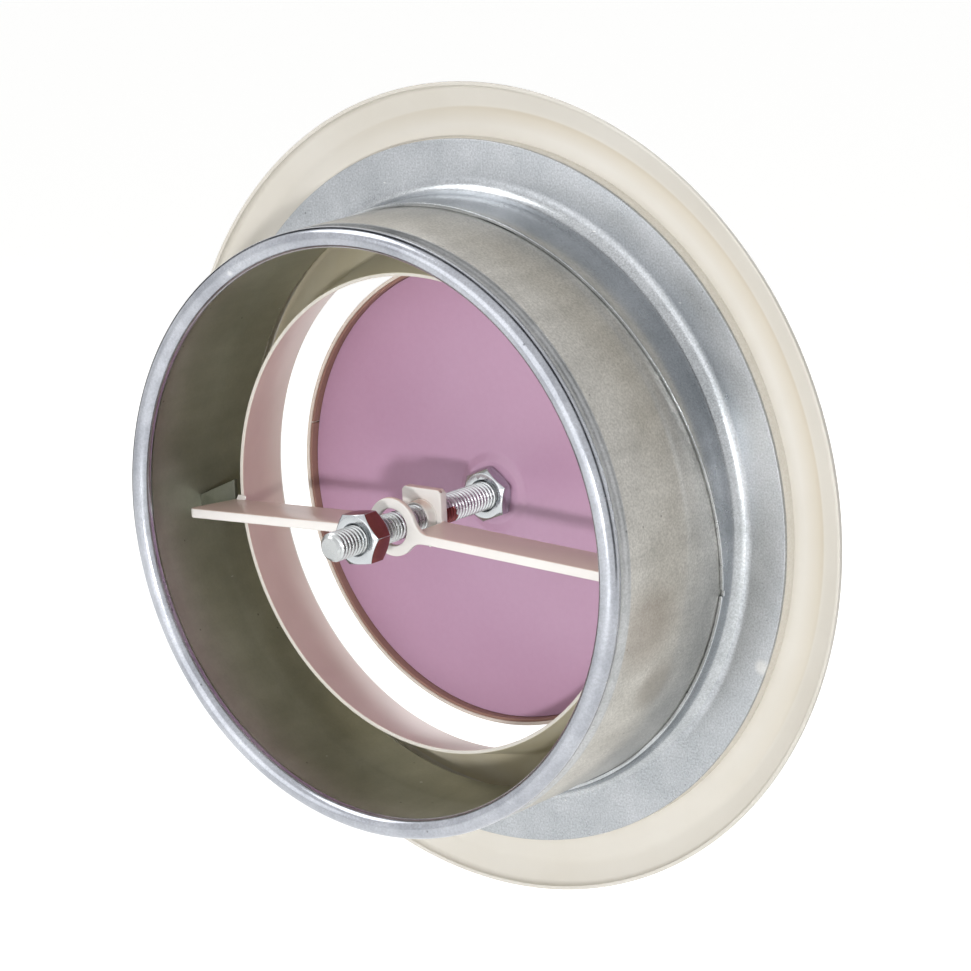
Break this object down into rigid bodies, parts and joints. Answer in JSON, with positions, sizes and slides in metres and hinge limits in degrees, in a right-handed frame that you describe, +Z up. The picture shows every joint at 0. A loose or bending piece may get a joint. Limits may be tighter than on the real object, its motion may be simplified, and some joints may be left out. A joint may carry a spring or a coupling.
{
  "type": "fire rated extract valve",
  "caption": "Round extract valve for a ventilation duct: a disc with an intumescent pad on a threaded spindle, in a flanged steel body held by a galvanised spigot collar.",
  "frame": {"origin": "centre of the wall plane, on the duct axis, level with the duct-side face of the mounting flange", "axes": "+Y along the duct axis out into the room, +X along the crossbar, +Z up"},
  "size_m": [0.1696, 0.0625, 0.1696],
  "materials": {
    "galvanised_tube": "hot-dip galvanised, satin",
    "galvanised_flange": "hot-dip galvanised, faint spangle",
    "galvanised_catch": "hot-dip galvanised, satin",
    "gasket_foam": "closed-cell foam",
    "cream_enamel": "powder coated, satin gloss",
    "white_enamel": "powder coated, satin gloss",
    "painted_weld": "painted weld bead",
    "white_enamel_bush": "powder coated",
    "zinc_thread": "bright zinc plated, threaded",
    "zinc_nut": "bright zinc plated",
    "zinc_thin_nut": "bright zinc plated",
    "zinc_inner_nut": "bright zinc plated",
    "galvanised_plate": "galvanised sheet",
    "intumescent_sheet": "smooth mauve film",
    "intumescent_edge": "brown strip, matt",
    "cream_enamel_disc": "powder coated, satin gloss"
  },
  "bodies": {
    "collar": {"spigot_tube": "galvanised_tube", "mounting_flange": "galvanised_flange", "collar_catches": "galvanised_catch"},
    "insert": {"foam_gasket": "gasket_foam", "valve_body": "cream_enamel", "crossbar": "white_enamel", "crossbar_welds": "painted_weld", "threaded_bush": "white_enamel_bush"},
    "spindle": {"spindle": "zinc_thread"},
    "disc": {"disc_nut": "zinc_thin_nut", "disc_inner_nut": "zinc_inner_nut", "disc_backing_plate": "galvanised_plate", "intumescent_pad": "intumescent_sheet", "rim_strip": "intumescent_edge", "disc_shell": "cream_enamel_disc"},
    "lock_nut": {"lock_nut": "zinc_nut"}
  },
  "joints": [
    {"name": "body_twist", "type": "hinge", "parent": "collar", "child": "insert", "pos_m": [0, 0, 0], "axis": [0, 1, 0], "range_deg": [0, 25]},
    {"name": "spindle_travel", "type": "slide", "parent": "insert", "child": "spindle", "axis": [0, 1, 0], "range_m": [-0.0155, 0.003]},
    {"name": "disc_turn", "type": "hinge", "parent": "spindle", "child": "disc", "pos_m": [0, 0, 0], "axis": [0, 1, 0], "range_deg": [-5580, 1080]},
    {"name": "lock_nut_travel", "type": "slide", "parent": "spindle", "child": "lock_nut", "axis": [0, -1, 0], "range_m": [-0.0033, 0.007]}
  ],
  "couplings": [
    {"joint": "spindle_travel", "follows": "disc_turn", "m_per_rad": 0.00015915}
  ]
}
